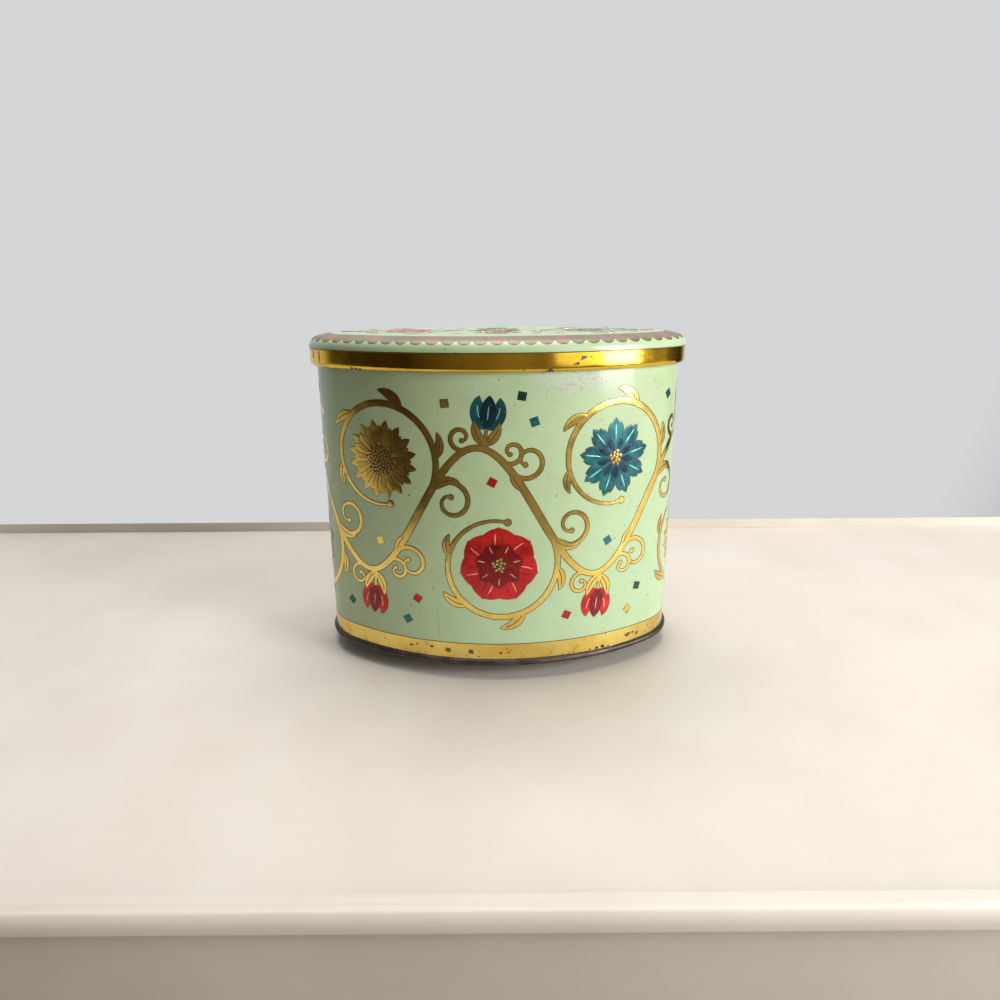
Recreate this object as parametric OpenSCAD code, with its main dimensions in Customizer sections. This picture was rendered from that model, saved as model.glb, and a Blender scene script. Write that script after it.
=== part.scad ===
// Oval slip-lid tin: a rolled tinplate wall, a countersunk base seamed to it, and a lift-off lid whose pressed top
// is held in a separate band. Millimetres, +Z up, +X along the long side, origin on the table under the middle.
// Every piece is a thin sheet section carried round a four-arc oval: two end arcs and two flatter side arcs, which
// meet on lines that rise 4 for every 3 along, so the arcs' centres and radii follow from the length and the depth.

/* [Body] */
// Length of the wall, outside
body_len = 146.6; // [130:0.2:160]
// Depth of the wall, outside
body_wid = 85.4; // [80:0.2:100]
// Height of the mouth above the table
mouth_z = 126.2; // [60:0.1:180]
// Thickness of the sheet
sheet = 0.4; // [0.3:0.05:0.5]
// Outer radius of the curled mouth edge
curl_r = 1.1; // [0.9:0.05:1.4]
// Width of the lapped side seam at the back
seam_w = 6; // [3:0.5:10]

/* [Base] */
// Height of the rolled base seam
rim_h = 2.65; // [2.4:0.05:2.7]
// How far the rolled base seam stands out from the wall
rim_proud = 1.3; // [1.2:0.05:1.6]
// How far the wall's lower edge turns out into the base seam
hook_w = 0.5; // [0.3:0.05:0.55]
// Depth of the recess under the base
base_sink = 3.6; // [3.5:0.1:8]
// Inside radius of the bend round the base recess
bend_r = 0.8; // [0.4:0.1:0.8]

/* [Lid] */
// How far the lid stands out from the wall
lid_over = 2.7; // [2.4:0.1:4]
// Height of the lid's band, up to the line under the shoulder
band_h = 7.2; // [5:0.1:15]
// Outside radius of the band's turned-in lower edge
hem_r = 1.8; // [0.8:0.1:1.8]
// Height of the open line between the shoulder and the band
line_h = 0.3; // [0.2:0.05:0.5]
// Outside radius of the lid's shoulder
shoulder_r = 4.2; // [3.6:0.1:5]
// Outside radius of the crown, between the shoulder and the flat of the lid
crown_r = 35; // [20:1:60]
// Width of the lap where the band's ends meet
lap_w = 5.5; // [4:0.5:12]
// Angle of the lap, from the left end towards the front
lap_turn = 37; // [15:0.5:40]

/* [Fits] */
// Gap between the lid's turned-in edge and the wall
slip_gap = 0.3; // [0.2:0.05:0.4]
// Gap between the lid and the mouth that it sits on
seat_gap = 0.3; // [0.2:0.05:0.5]
// Gap between sheets that are folded together
fold_gap = 0.05; // [0.03:0.01:0.1]

/* [Fine lines] */
// Width of the lines at the lapped seams
score_w = 0.35; // [0.2:0.05:0.6]
// Depth of the lines at the lapped seams
score_d = 0.12; // [0.05:0.01:0.2]

/* [Hidden] */
$fn = 180;

// The oval: the direction in which its arcs meet, the arcs' centres and their radii at the wall's outside
meet = [3, 4];
half_len = body_len / 2;
half_wid = body_wid / 2;
longer = half_len - half_wid;
end_x = longer * meet[0] / (norm(meet) - meet[0]);
side_y = end_x * meet[1] / meet[0];
end_r = half_len - end_x;
side_r = half_wid + side_y;

// Base: the inner leg of the seam, the middle of its bead, and the floor's edge
leg_out = -sheet - fold_gap;
leg_in = leg_out - sheet;
bead_r = rim_h / 2;
bead_x = rim_proud - bead_r;
floor_edge = leg_in - bend_r;
floor_top = base_sink + sheet;

// A derived size, to the nearest thousandth, so that arcs that meet share their ends
function tidy(size) = round(size * 1000) / 1000;

// The angle, in degrees, that a width takes up on an arc
function turn_of(width, radius) = width / radius * 180 / PI;

// Lid: the direction from the arcs' centres to the line where the crown meets the shoulder, and the arcs' centres
crown_meet = [7, 24] / 25;
shoulder_x = lid_over - shoulder_r;
flat_edge = tidy(shoulder_x - (crown_r - shoulder_r) * crown_meet[0]);

// Heights of the lid: its crown clears the mouth's curl by the seat gap
curl_z = mouth_z - curl_r;
seat_reach = crown_r - sheet - curl_r - seat_gap;
crown_z = tidy(curl_z - sqrt(seat_reach ^ 2 - (-curl_r - flat_edge) ^ 2));
lid_top = crown_z + crown_r;
shoulder_z = tidy(crown_z + (crown_r - shoulder_r) * crown_meet[1]);
band_z = shoulder_z - band_h;
hem_z = band_z + hem_r;
flange_out = lid_over - sheet - fold_gap;
flange_in = flange_out - sheet;

// A section carried round one arc, between two angles, with its x measured outwards from the wall's outside
module along_arc(centre, radius, from, to) {
    translate([centre[0], centre[1], 0])
        rotate([0, 0, from])
            rotate_extrude(angle = to - from)
                translate([radius, 0])
                    children();
}

// A section carried round one arc's centre and kept within an outline seen from above. $inner is an x in the
// section just past the centre, where a sheet that runs right across the oval can start.
module arc_piece(radius, outline) {
    $inner = -radius - sheet;
    intersection() {
        rotate_extrude()
            intersection() {
                translate([radius, 0])
                    children();
                translate([0, -lid_top])
                    square([radius + 2 * lid_over, 3 * lid_top]);
            }
        linear_extrude(2 * lid_top, center = true)
            polygon(outline);
    }
}

// A section carried all the way round the oval: its two ends and its two sides
module round_oval() {
    far = ceil(body_len) * meet;
    for (side = [0, 1]) {
        mirror([side, 0, 0])
            translate([end_x, 0, 0])
                arc_piece(end_r, [[0, 0], [far[0], -far[1]], far])
                    children();
        mirror([0, side, 0])
            translate([0, -side_y, 0])
                arc_piece(side_r, [[-end_x, side_y], [end_x, side_y], far, [-far[0], far[1]]])
                    children();
    }
}

// A rectangle in a section, given by its two corners
module strip(low, high) {
    translate(low)
        square(high - low);
}

// A bent stretch of sheet in a section, between two angles less than 180 degrees apart
module bend(centre, outer, from, to) {
    reach = 2 * outer / cos((to - from) / 2);
    translate(centre)
        intersection() {
            difference() {
                circle(r = outer);
                circle(r = outer - sheet);
            }
            polygon([[0, 0], reach * [cos(from), sin(from)], reach * [cos(to), sin(to)]]);
        }
}

// The wall's mouth edge, curled inwards three quarters of the way round
module mouth_curl() {
    translate([-curl_r, curl_z])
        difference() {
            circle(r = curl_r);
            circle(r = curl_r - sheet);
            translate([0, -2 * curl_r])
                square(2 * curl_r);
        }
}

// Rolled wall, with the lap of its side seam at the back
module body_wall() {
    seam_turn = turn_of(seam_w / 2, side_r);
    score_turn = turn_of(score_w / 2, side_r);
    color([0.71, 0.79, 0.62])
        difference() {
            union() {
                round_oval() {
                    strip([-sheet, sheet], [0, curl_z]);
                    strip([-sheet, sheet], [hook_w, 2 * sheet]);
                    mouth_curl();
                }
                along_arc([0, -side_y], side_r, 90 - seam_turn, 90 + seam_turn)
                    strip([-2 * sheet, floor_top + sheet], [-sheet / 2, curl_z - curl_r - sheet]);
            }
            along_arc([0, -side_y], side_r, 90 - score_turn, 90 + score_turn)
                strip([-score_d, rim_h], [score_d, curl_z]);
        }
}

// Countersunk base, with the bead that is rolled round the wall's lower edge
module base_panel() {
    color([0.3, 0.26, 0.25])
        round_oval()
            difference() {
                union() {
                    strip([$inner, base_sink], [floor_edge, floor_top]);
                    bend([floor_edge, base_sink - bend_r], bend_r + sheet, 0, 90);
                    strip([leg_in, 0], [leg_out, base_sink - bend_r]);
                    strip([leg_in, 0], [bead_x, rim_h]);
                    translate([bead_x, bead_r])
                        circle(r = bead_r);
                }
                strip([leg_out, sheet], [fold_gap, rim_h + sheet]);
                strip([leg_out, sheet], [hook_w + fold_gap, 2 * sheet + fold_gap]);
            }
}

// The lid's section filled down to its line, drawn in from the outside by a depth
module lid_fill(depth) {
    low = shoulder_z - depth;
    top = lid_top - depth;
    meet_x = tidy(shoulder_x + (shoulder_r - depth) * crown_meet[0]);
    strip([$inner, low], [flat_edge, top]);
    intersection() {
        translate([flat_edge, crown_z])
            circle(r = crown_r - depth);
        strip([flat_edge, low], [meet_x, top]);
    }
    intersection() {
        translate([shoulder_x, shoulder_z])
            circle(r = shoulder_r - depth);
        strip([meet_x, low], [lid_over, top]);
    }
}

// Pressed top of the lid: flat, crown, shoulder, and the flange that the band is closed on
module lid_panel() {
    color([0.72, 0.8, 0.65])
        round_oval() {
            difference() {
                lid_fill(0);
                lid_fill(sheet);
            }
            strip([flange_in, shoulder_z], [lid_over - sheet / 2, shoulder_z + sheet]);
            strip([flange_in, hem_z], [flange_out, shoulder_z + sheet / 2]);
        }
}

// Band of the lid, with its lower edge turned in to the wall and its ends lapped near the left end
module lid_band() {
    band_r = end_r + lid_over;
    lap_half = turn_of(lap_w / 2, band_r);
    score_turn = turn_of(score_w / 2, band_r);
    color([0.72, 0.55, 0.16])
        difference() {
            round_oval() {
                strip([lid_over - sheet, hem_z], [lid_over, shoulder_z - line_h]);
                bend([lid_over - hem_r, hem_z], hem_r, 270, 360);
                strip([slip_gap, band_z], [lid_over - hem_r, band_z + sheet]);
            }
            for (turn = [180 + lap_turn - lap_half, 180 + lap_turn + lap_half])
                along_arc([-end_x, 0], end_r, turn - score_turn, turn + score_turn)
                    strip([lid_over - score_d, hem_z], [lid_over + score_d, shoulder_z]);
        }
}

body_wall();
base_panel();
lid_panel();
lid_band();
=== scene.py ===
import math

import bmesh
import bpy
import numpy as np
from mathutils import Matrix, Vector


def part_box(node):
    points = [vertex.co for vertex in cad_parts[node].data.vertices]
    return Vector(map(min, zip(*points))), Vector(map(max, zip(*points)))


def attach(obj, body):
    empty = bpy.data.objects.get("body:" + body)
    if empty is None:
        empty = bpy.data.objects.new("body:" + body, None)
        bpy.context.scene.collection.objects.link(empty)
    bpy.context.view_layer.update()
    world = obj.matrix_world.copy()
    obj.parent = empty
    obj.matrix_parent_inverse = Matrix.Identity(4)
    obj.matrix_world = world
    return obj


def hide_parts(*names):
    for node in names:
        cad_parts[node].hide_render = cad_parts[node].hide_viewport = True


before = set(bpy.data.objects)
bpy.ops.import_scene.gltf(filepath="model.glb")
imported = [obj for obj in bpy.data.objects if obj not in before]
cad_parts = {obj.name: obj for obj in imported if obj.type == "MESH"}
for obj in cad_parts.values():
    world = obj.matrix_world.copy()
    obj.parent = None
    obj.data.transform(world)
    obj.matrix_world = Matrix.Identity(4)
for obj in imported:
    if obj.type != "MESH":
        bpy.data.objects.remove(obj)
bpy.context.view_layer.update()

# Sizes in millimetres. Overall sizes come from the frame's boxes, and the sheet's sections from these.
MM = 0.001
QUARTER = math.pi / 2
SHEET = 0.4
LID_OVER = 2.7
# Height of the painted shade line in the crease between the lid's shoulder and its band
SHADE_LINE_H = 0.3
HEM_R = 1.8
SHOULDER_R = 4.2
CROWN_R = 35.0
CROWN_MEET = math.atan2(24, 7)
CURL_R = 1.1
RIM_H = 2.65
RIM_PROUD = 1.3
BASE_SINK = 3.6
BEND_R = 0.8
SLIP_GAP = 0.3
FOLD_GAP = 0.05
SEAM_W = 6.0
SEAM_ROOT = -0.9 * SHEET
SCORE_W = 0.35
SCORE_D = 0.12
LAP_W = 5.5
LAP_TURN = math.radians(37)
EDGE_R = 0.08
CURL_PAINTED = 6

# Room left inside the frame's box for the raised print and for the wear on the band
PRINT_ROOM = 0.15
WEAR_ROOM = 0.07


def box_of(node):
    """Lowest and highest corners of a frame node, in millimetres."""
    return [[c / MM for c in corner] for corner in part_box(node)]


BAND_LOW, BAND_HIGH = box_of("lid_band")
HALF_LEN = BAND_HIGH[0] - LID_OVER
HALF_WID = BAND_HIGH[1] - LID_OVER
MOUTH_Z = box_of("body_wall")[1][2]
LID_TOP = box_of("lid_panel")[1][2] - PRINT_ROOM
BAND_TOP = BAND_HIGH[2] - PRINT_ROOM
BAND_Z = BAND_LOW[2]
HEM_Z = BAND_Z + HEM_R
BAND_OUT = LID_OVER - WEAR_ROOM
CURL_Z = MOUTH_Z - CURL_R
CROWN_Z = LID_TOP - CROWN_R
SHOULDER_Z = CROWN_Z + (CROWN_R - SHOULDER_R) * math.sin(CROWN_MEET)
SHOULDER_X = LID_OVER - SHOULDER_R
FLAT_EDGE = SHOULDER_X - (CROWN_R - SHOULDER_R) * math.cos(CROWN_MEET)
FLANGE_OUT = BAND_OUT - SHEET - FOLD_GAP
FLANGE_IN = FLANGE_OUT - SHEET
LEG_OUT = -SHEET - FOLD_GAP
LEG_IN = LEG_OUT - SHEET
FLOOR_EDGE = LEG_IN - BEND_R
FLOOR_TOP = BASE_SINK + SHEET
BEAD_R = RIM_H / 2
BEAD_X = RIM_PROUD - BEAD_R

# The oval: side arcs and end arcs meet on lines that rise 4 for every 3 along
MEET_X = 3
MEET_Y = 4
SIDE_TURN = math.atan2(MEET_X, MEET_Y)
END_TURN = math.atan2(MEET_Y, MEET_X)
END_X = (HALF_LEN - HALF_WID) * MEET_X / (math.hypot(MEET_X, MEET_Y) - MEET_X)
SIDE_Y = END_X * MEET_Y / MEET_X
END_R = HALF_LEN - END_X
SIDE_R = HALF_WID + SIDE_Y
SIDE_RUN = SIDE_R * SIDE_TURN
END_RUN = END_R * 2 * END_TURN
HALF_ROUND = 2 * SIDE_RUN + END_RUN
ROUND = 2 * HALF_ROUND
RING_STEPS = 320

# Welding of meshes, in metres
WELD = 1e-7
SLIVER = 1e-8

# Raised print: its skirt, its outline, the shares of its height, and the widths that take more columns
PRINT_SKIRT = 0.02
OUTLINE = 0.28
EDGE_SHARE = 0.65
WIDE_STRIPS = (3, 7)
DOT_REACH = (1, 1, 0.55, 0)
DOT_INNER = 0.93

# Printed design on the wall: a gold vine in waves, with a ring and a flower in each lobe
FOOT_TOP = 9.25
VINE_WAVES = 4
VINE_SWING = 26.0
VINE_W = 2.3
VINE_STEPS = 480
LOBE = HALF_ROUND / VINE_WAVES
VINE_MID = (FOOT_TOP + BAND_Z) / 2
RING_FROM = 0.6 * LOBE
RING_R = 0.5 * LOBE
FLOWER_SHARE = 0.66
BUD_AT = 0.06 * LOBE
BUD_SIZE = 13.5
GOLDEN_TURN = math.pi * (3 - math.sqrt(5))
BLADE_STEPS = 16
BOW_STEPS = 24
ROSE_PETALS = 7
CORNFLOWER_PETALS = 9
SUNFLOWER_RAYS = 16

# Lozenges on the wall: shares of a lobe along and of the vine's swing up, and a turn
LOZENGE_TONES = ("red", "teal", "green", "gold")
LOZENGES = ((0.12, 0.5, 0.3), (0.46, 1.36, 1.1), (0.36, 1.72, 0.6), (-0.25, 1.62, 0.9))

# Printed design on the lid: the ring on each side, its lozenges, and the scallops over the shoulder
LID_RING = (36.0, 0.0)
LID_RING_R = 15.0
LID_SUN_R = 12.0
LID_LOZENGE_TONES = ("red", "teal", "gold", "green")
LID_LOZENGES = ((15, 20), (-15, 21), (47, 18.5), (53, -13.5), (24, -22))
SCALLOPS = 64
SCALLOP_TONES = ("pink", "bronze", "olive", "bronze")
SCALLOP_TIP = 3.0
SCALLOP_CUSP = 4.9
SCALLOP_IN = 10.8
SCALLOP_ROUND = 2.4
SCALLOP_FILL = 0.985

# Wear: tone, place along the wall's outside, place down the band or up the foot, and size
BAND_KNOCKS = (
    ("bare", 30.2, 1.9, 1.2), ("bare", 31.0, 1.6, 0.8), ("rust", 29.6, 2.5, 0.6), ("rust", 28.2, 3.9, 0.9),
    ("rust", 26.9, 4.1, 0.7), ("bare", 27.6, 3.7, 0.5), ("rust", 33.0, 1.7, 0.45), ("rust", 33.9, 2.3, 0.35),
    ("rust", 18.3, 6.2, 1.4), ("rust", 17.3, 6.5, 0.9), ("rust", 19.4, 6.6, 0.8), ("rust", -53.5, 6.3, 1.0),
    ("rust", -51.5, 6.4, 0.9), ("rust", -55.2, 6.2, 0.8), ("rust", 51.5, 3.0, 0.5), ("rust", 53.5, 2.0, 0.5),
    ("rust", 9.2, 5.8, 0.4), ("rust", 24.0, 6.2, 0.35), ("rust", -69.8, 6.3, 0.5), ("rust", -68.1, 6.4, 0.6),
    ("rust", -75.5, 6.4, 0.5))
FOOT_KNOCKS = (
    ("stain", -20.6, 6.0, 1.9), ("bare", -20.5, 6.2, 1.3), ("rust", -20.2, 5.5, 0.5),
    ("stain", -11.4, 5.6, 1.8), ("bare", -11.6, 5.7, 1.2), ("rust", -11.9, 6.3, 0.4),
    ("stain", -27.5, 6.7, 1.0), ("rust", -27.3, 6.8, 0.45), ("stain", -36.5, 6.2, 1.2),
    ("bare", -36.2, 6.3, 0.6), ("stain", -33.8, 6.9, 0.8), ("rust", 37.5, 3.2, 0.7),
    ("rust", 40.5, 3.3, 1.0), ("rust", 43.4, 3.4, 1.3), ("rust", 46.2, 3.1, 0.8),
    ("stain", 56.0, 5.8, 1.9), ("rust", 58.5, 6.0, 0.9), ("stain", 61.0, 5.2, 1.6),
    ("stain", 0.5, 5.4, 1.1), ("stain", 3.6, 5.6, 0.8))
WEAR_SEED = 11
CHIP_SIDES = 13
CHIP_FLAT = 0.7
CHIP_SHARES = (1, 0.95, 0.5, 0)
BAND_SPECKS = 70
BAND_SPECK_DOWN = (0.2, 5.6, 6.4, 7.2)
FOOT_SPECKS = 90
LAP_FEET = (6.2, 3.6)

# Slots of the printed colours
SLOTS = {
    "gold_lacquer": ("gold", "bronze", "olive", "stain"),
    "dark_print": ("outline",),
    "red_print": ("red", "red_dark", "red_light", "pink"),
    "teal_print": ("teal", "teal_dark", "teal_light", "green"),
    "bright_tinplate": ("bare",),
    "tarnished_tinplate": ("rust",),
}
SLOT_OF = {tone: slot for slot, tones in SLOTS.items() for tone in tones}

# Coats of the films
GLOSSY = 0.3
DULL = 0.05

# The photograph's camera, and the table top that the tin stands on
CAMERA_PLACE = (0.57, -293.4, 141.8)
CAMERA_LENS = 25.3
CAMERA_SENSOR = 36
CAMERA_PITCH = 0.28387
CAMERA_ROLL = -0.00735
TABLE_LOW = (-900.0, -160.0)
TABLE_HIGH = (900.0, 150.0)
TABLE_ROUND = 6.0
TABLE_DEEP = 140.0


# Placing points on the tin

def on_wall(run, height, out):
    """Points on the wall: run along its outside from the front's middle to +X, height, and how far out."""
    run = np.asarray(run, float)
    run = (run + HALF_ROUND) % ROUND - HALF_ROUND
    along = np.abs(run)
    side = np.where(along > HALF_ROUND / 2, 1.0, -1.0)
    to_middle = np.where(side > 0, HALF_ROUND - along, along)
    on_end = to_middle > SIDE_RUN
    side_turn = to_middle / SIDE_R
    end_turn = (along - SIDE_RUN) / END_R - END_TURN
    x = np.where(on_end, END_X + (END_R + out) * np.cos(end_turn), (SIDE_R + out) * np.sin(side_turn))
    y_side = side * ((SIDE_R + out) * np.cos(side_turn) - SIDE_Y)
    y = np.where(on_end, (END_R + out) * np.sin(end_turn), y_side)
    z = np.broadcast_to(height, x.shape)
    return np.stack([np.where(run < 0, -x, x), y, z], -1)


def on_lid_rim(run, depth, lift):
    """Points near the lid's edge: run along the wall's outside, depth inwards over the shoulder, and lift."""
    shoulder_run = SHOULDER_R * CROWN_MEET
    on_shoulder = depth < shoulder_run
    turn = np.where(on_shoulder, depth / SHOULDER_R, CROWN_MEET + (depth - shoulder_run) / CROWN_R)
    radius = np.where(on_shoulder, SHOULDER_R, CROWN_R)
    out = np.where(on_shoulder, SHOULDER_X, FLAT_EDGE) + radius * np.cos(turn)
    up = np.where(on_shoulder, SHOULDER_Z, CROWN_Z) + radius * np.sin(turn)
    return on_wall(run, up + lift * np.sin(turn), out + lift * np.cos(turn))


def on_lid_top(x, y, lift):
    """Points on the lid's top, straight above x and y."""
    x, y = np.broadcast_arrays(np.asarray(x, float), np.asarray(y, float))
    from_end = np.hypot(np.abs(x) - END_X, y) - END_R
    from_side = np.hypot(x, np.abs(y) + SIDE_Y) - SIDE_R
    out = np.where(np.abs(x) > END_X + np.abs(y) * MEET_X / MEET_Y, from_end, from_side)
    fall = np.clip((out - FLAT_EDGE) / CROWN_R, 0, 1)
    up = CROWN_Z + CROWN_R * np.sqrt(1 - fall ** 2)
    return np.stack([x, y, up + lift], -1)


def on_lid_band(run, down, lift):
    """Points on the lid's band: run along the wall's outside, and down the band's face and round its hem."""
    face = BAND_TOP - HEM_Z
    turn = np.clip((np.asarray(down, float) - face) / HEM_R, 0, QUARTER)
    out = BAND_OUT - HEM_R + (HEM_R + lift) * np.cos(turn)
    up = np.where(down < face, BAND_TOP - down, HEM_Z - (HEM_R + lift) * np.sin(turn))
    return on_wall(run, up, out)


# Building meshes

def add_mesh(name, points, faces, looks, smooth=35, shell_looks=None):
    """A piece from points in millimetres, welded, smooth up to an angle. A shell's faces turn outwards."""
    mesh = bpy.data.meshes.new(name)
    mesh.from_pydata((np.asarray(points) * MM).tolist(), [], faces)
    for look in looks:
        mesh.materials.append(look)
    if shell_looks:
        mesh.polygons.foreach_set("material_index", shell_looks)
    shape = bmesh.new()
    shape.from_mesh(mesh)
    bmesh.ops.remove_doubles(shape, verts=shape.verts, dist=WELD)
    bmesh.ops.dissolve_degenerate(shape, edges=shape.edges, dist=SLIVER)
    if shell_looks:
        bmesh.ops.recalc_face_normals(shape, faces=shape.faces)
    shape.to_mesh(mesh)
    shape.free()
    mesh.shade_smooth()
    mesh.set_sharp_from_angle(angle=math.radians(smooth))
    piece = bpy.data.objects.new(name, mesh)
    bpy.context.scene.collection.objects.link(piece)
    return piece


def grid_faces(rows, columns, first=0):
    """Faces of a grid of points, numbered row by row from first."""
    corners = [first + i * columns + j for i in range(rows - 1) for j in range(columns - 1)]
    return [(a, a + columns, a + columns + 1, a + 1) for a in corners]


def arc(centre, radius, first, last, steps):
    """Points of a section on an arc, between two angles in radians."""
    turns = np.linspace(first, last, steps)
    return [(centre[0] + radius * math.cos(t), centre[1] + radius * math.sin(t)) for t in turns]


def ring_runs(grooves=()):
    """Places along the oval for a swept ring, closer together at its grooves."""
    runs = [np.linspace(-HALF_ROUND, HALF_ROUND, RING_STEPS, endpoint=False)]
    for groove in grooves:
        runs.append(groove + SCORE_W * np.array([-2, -1, -0.5, 0, 0.5, 1, 2]))
    runs = np.concatenate(runs)
    return np.unique(np.round((runs + HALF_ROUND) % ROUND - HALF_ROUND, 6))


def sweep(name, section, looks, outer, painted, grooves=(), groove_rows=(), closed=False):
    """A section's points, (out, up), carried round the oval: its painted rows in the outer look, and the rest
    tinplate. Rows in groove_rows dip at the grooves. Where closed, its ends run in to the middle."""
    runs = ring_runs(grooves)
    dip = np.zeros(len(runs))
    for groove in grooves:
        away_by = np.abs((runs - groove + HALF_ROUND) % ROUND - HALF_ROUND)
        dip = np.maximum(dip, SCORE_D * np.clip(1 - away_by / SCORE_W, 0, 1))
    rows = []
    for i, (out, up) in enumerate(section):
        rows.append(on_wall(runs, up, out - dip if i in groove_rows else out))
    kinds = [0] * painted + [1] * (len(section) - painted)
    if closed:
        shrink = [0.8, 0.55, 0.3, 0.1, 0.0]
        first = [rows[0] * [s, s, 1] for s in reversed(shrink)]
        last = [rows[-1] * [s, s, 1] for s in shrink]
        rows = first + rows + last
        kinds = [kinds[0]] * len(shrink) + kinds + [kinds[-1]] * (len(shrink) - 1)
    count = len(runs)
    faces = []
    face_looks = []
    for i in range(len(rows) - (1 if closed else 0)):
        here = i * count
        there = (i + 1) % len(rows) * count
        for j in range(count):
            k = (j + 1) % count
            faces.append((here + j, here + k, there + k, there + j))
            face_looks.append(kinds[min(i, len(kinds) - 1)])
    sides = [looks[outer], looks["tinplate"]]
    return add_mesh(name, np.concatenate(rows), faces, sides, shell_looks=face_looks)


class Print:
    """Thin printed shapes of one colour on one surface, gathered into one piece."""

    def __init__(self, name, place):
        self.name = name
        self.place = place
        self.points = []
        self.faces = []
        self.count = 0
        self.sign = 1

    def add(self, grid):
        """Adds a grid of (along, across, lift) points, rows along the shape and columns from right to left.
        A sign of -1 turns it half way round."""
        rows, columns = grid.shape[:2]
        spot = self.place(self.sign * grid[..., 0], self.sign * grid[..., 1], grid[..., 2])
        self.points.append(spot.reshape(-1, 3))
        self.faces += grid_faces(rows, columns, self.count)
        self.count += rows * columns

    def add_ring(self, rows):
        """Adds a ring round the whole wall, from rows of (up, out)."""
        runs = np.linspace(0, ROUND, RING_STEPS + 1)[:, None]
        self.add(np.stack(np.broadcast_arrays(runs, *np.transpose(rows)), -1))

    def build(self, look, body, slot):
        piece = add_mesh(self.name, np.concatenate(self.points), self.faces, [look], smooth=50)
        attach(piece, body)


def raised(spots, lift):
    """A grid of (along, across) spots, with a lift for each column."""
    return np.concatenate([spots, np.broadcast_to(lift[:, None], spots.shape[:2] + (1,))], -1)


def strip(path, widths, low, high):
    """A raised strip along a path, square-edged under a gentle dome, as a grid of (along, across, lift)."""
    widths = np.broadcast_to(np.asarray(widths, float), len(path))
    step = np.gradient(path, axis=0)
    side = np.stack([-step[:, 1], step[:, 0]], 1) / np.linalg.norm(step, axis=1)[:, None]
    across = np.linspace(-1, 1, 5 + 4 * sum(widths.max() >= limit for limit in WIDE_STRIPS))
    dome = EDGE_SHARE + (1 - EDGE_SHARE) * np.sqrt(np.clip(1 - across ** 2, 0, 1))
    lift = np.pad(low + (high - low) * dome, 1, constant_values=-PRINT_SKIRT)
    across = np.pad(across, 1, "edge")
    spots = path[:, None] + side[:, None] * (across * widths[:, None] / 2)[..., None]
    return raised(spots, lift)


def dot(centre, radius, low, high, sides, turn):
    """A raised dot, or with few sides a lozenge, as a grid of (along, across, lift)."""
    turns = turn + np.linspace(0, 2 * math.pi, sides + 1)
    reach = np.array(DOT_REACH) * radius
    spots = circle(turns)[:, None] * reach[:, None] + centre
    rise = high - low
    return raised(spots, np.array([-PRINT_SKIRT, low + rise * EDGE_SHARE, low + rise * DOT_INNER, high]))


class Design:
    """A printed design on one surface: a print for each colour, and dark outlines under them."""

    LAYERS = {"under": (0.0, 0.03), "main": (0.025, 0.075), "over": (0.05, 0.1), "fine": (0.085, 0.13),
              "wear": (0.03, 0.05)}
    OUTLINE_DROP = (0.03, 0.045)
    STAGGER = 0.0015
    STAGGER_STEPS = 9

    def __init__(self, name, place):
        self.name = name
        self.place = place
        self.prints = {}
        self.laid = 0
        self.sign = 1

    def print_of(self, colour):
        shapes = self.prints.setdefault(colour, Print(f"{self.name}_{colour}", self.place))
        shapes.sign = self.sign
        return shapes

    def heights(self, layer):
        """The layer's heights, a small step apart from shape to shape, so that none coincide."""
        self.laid += 1
        low, high = self.LAYERS[layer]
        extra = self.STAGGER * (self.laid % self.STAGGER_STEPS)
        return low + extra, high + extra

    def outline_heights(self, layer):
        """Heights of the outline under a shape."""
        if layer == "main":
            return self.heights("under")
        low, high = self.heights(layer)
        return low - self.OUTLINE_DROP[0], high - self.OUTLINE_DROP[1]

    def stroke(self, colour, path, widths, layer="main", outline=OUTLINE):
        """Lays a strip along a path, and its outline."""
        path = np.asarray(path, float)
        self.print_of(colour).add(strip(path, widths, *self.heights(layer)))
        if outline:
            first = path[0] - unit(path[1] - path[0]) * outline
            last = path[-1] + unit(path[-1] - path[-2]) * outline
            longer = np.concatenate([[first], path, [last]])
            wider = np.broadcast_to(np.asarray(widths, float), len(path)) + 2 * outline
            wider = np.concatenate([[wider[0] / 2], wider, [wider[-1] / 2]])
            self.print_of("outline").add(strip(longer, wider, *self.outline_heights(layer)))

    def petal(self, colour, start, angle, length, width, bend=0.0, fat=0.8, layer="main", outline=OUTLINE):
        """Lays a leaf or petal, and gives its spine and widths."""
        path, widths = blade(start, angle, length, width, bend, fat)
        self.stroke(colour, path, widths, layer, outline)
        return path, widths

    def gleam(self, colour, start, angle, length, width, bend=0.0, fat=0.8):
        """Lays a fine light or dark stroke over a petal."""
        self.petal(colour, start, angle, length, width, bend, fat, "fine", 0)

    def spot(self, colour, centre, radius, layer="main", outline=OUTLINE, sides=24, turn=0.0):
        """Lays a dot or lozenge, and its outline."""
        self.print_of(colour).add(dot(centre, radius, *self.heights(layer), sides, turn))
        if outline:
            heights = self.outline_heights(layer)
            self.print_of("outline").add(dot(centre, radius + outline, *heights, sides, turn))

    def lozenge(self, colour, centre, radius, turn):
        self.spot(colour, centre, radius, "main", 0.2, 4, turn)

    def build(self, looks, body):
        for tone, shapes in self.prints.items():
            shapes.build(looks[tone], body, SLOT_OF[tone])


# Shapes of the design, in the flat plane of a surface

def unit(step):
    return step / np.linalg.norm(step)


def circle(turns):
    """Points on a circle of radius 1."""
    return np.stack([np.cos(turns), np.sin(turns)], 1)


def away(start, angle, distance):
    """The point at a distance from start, along an angle."""
    return np.asarray(start, float) + distance * np.array([math.cos(angle), math.sin(angle)])


def heading(path, i):
    """The angle at which a path leaves its point i."""
    along, across = path[i + 1] - path[i]
    return math.atan2(across, along)


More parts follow.
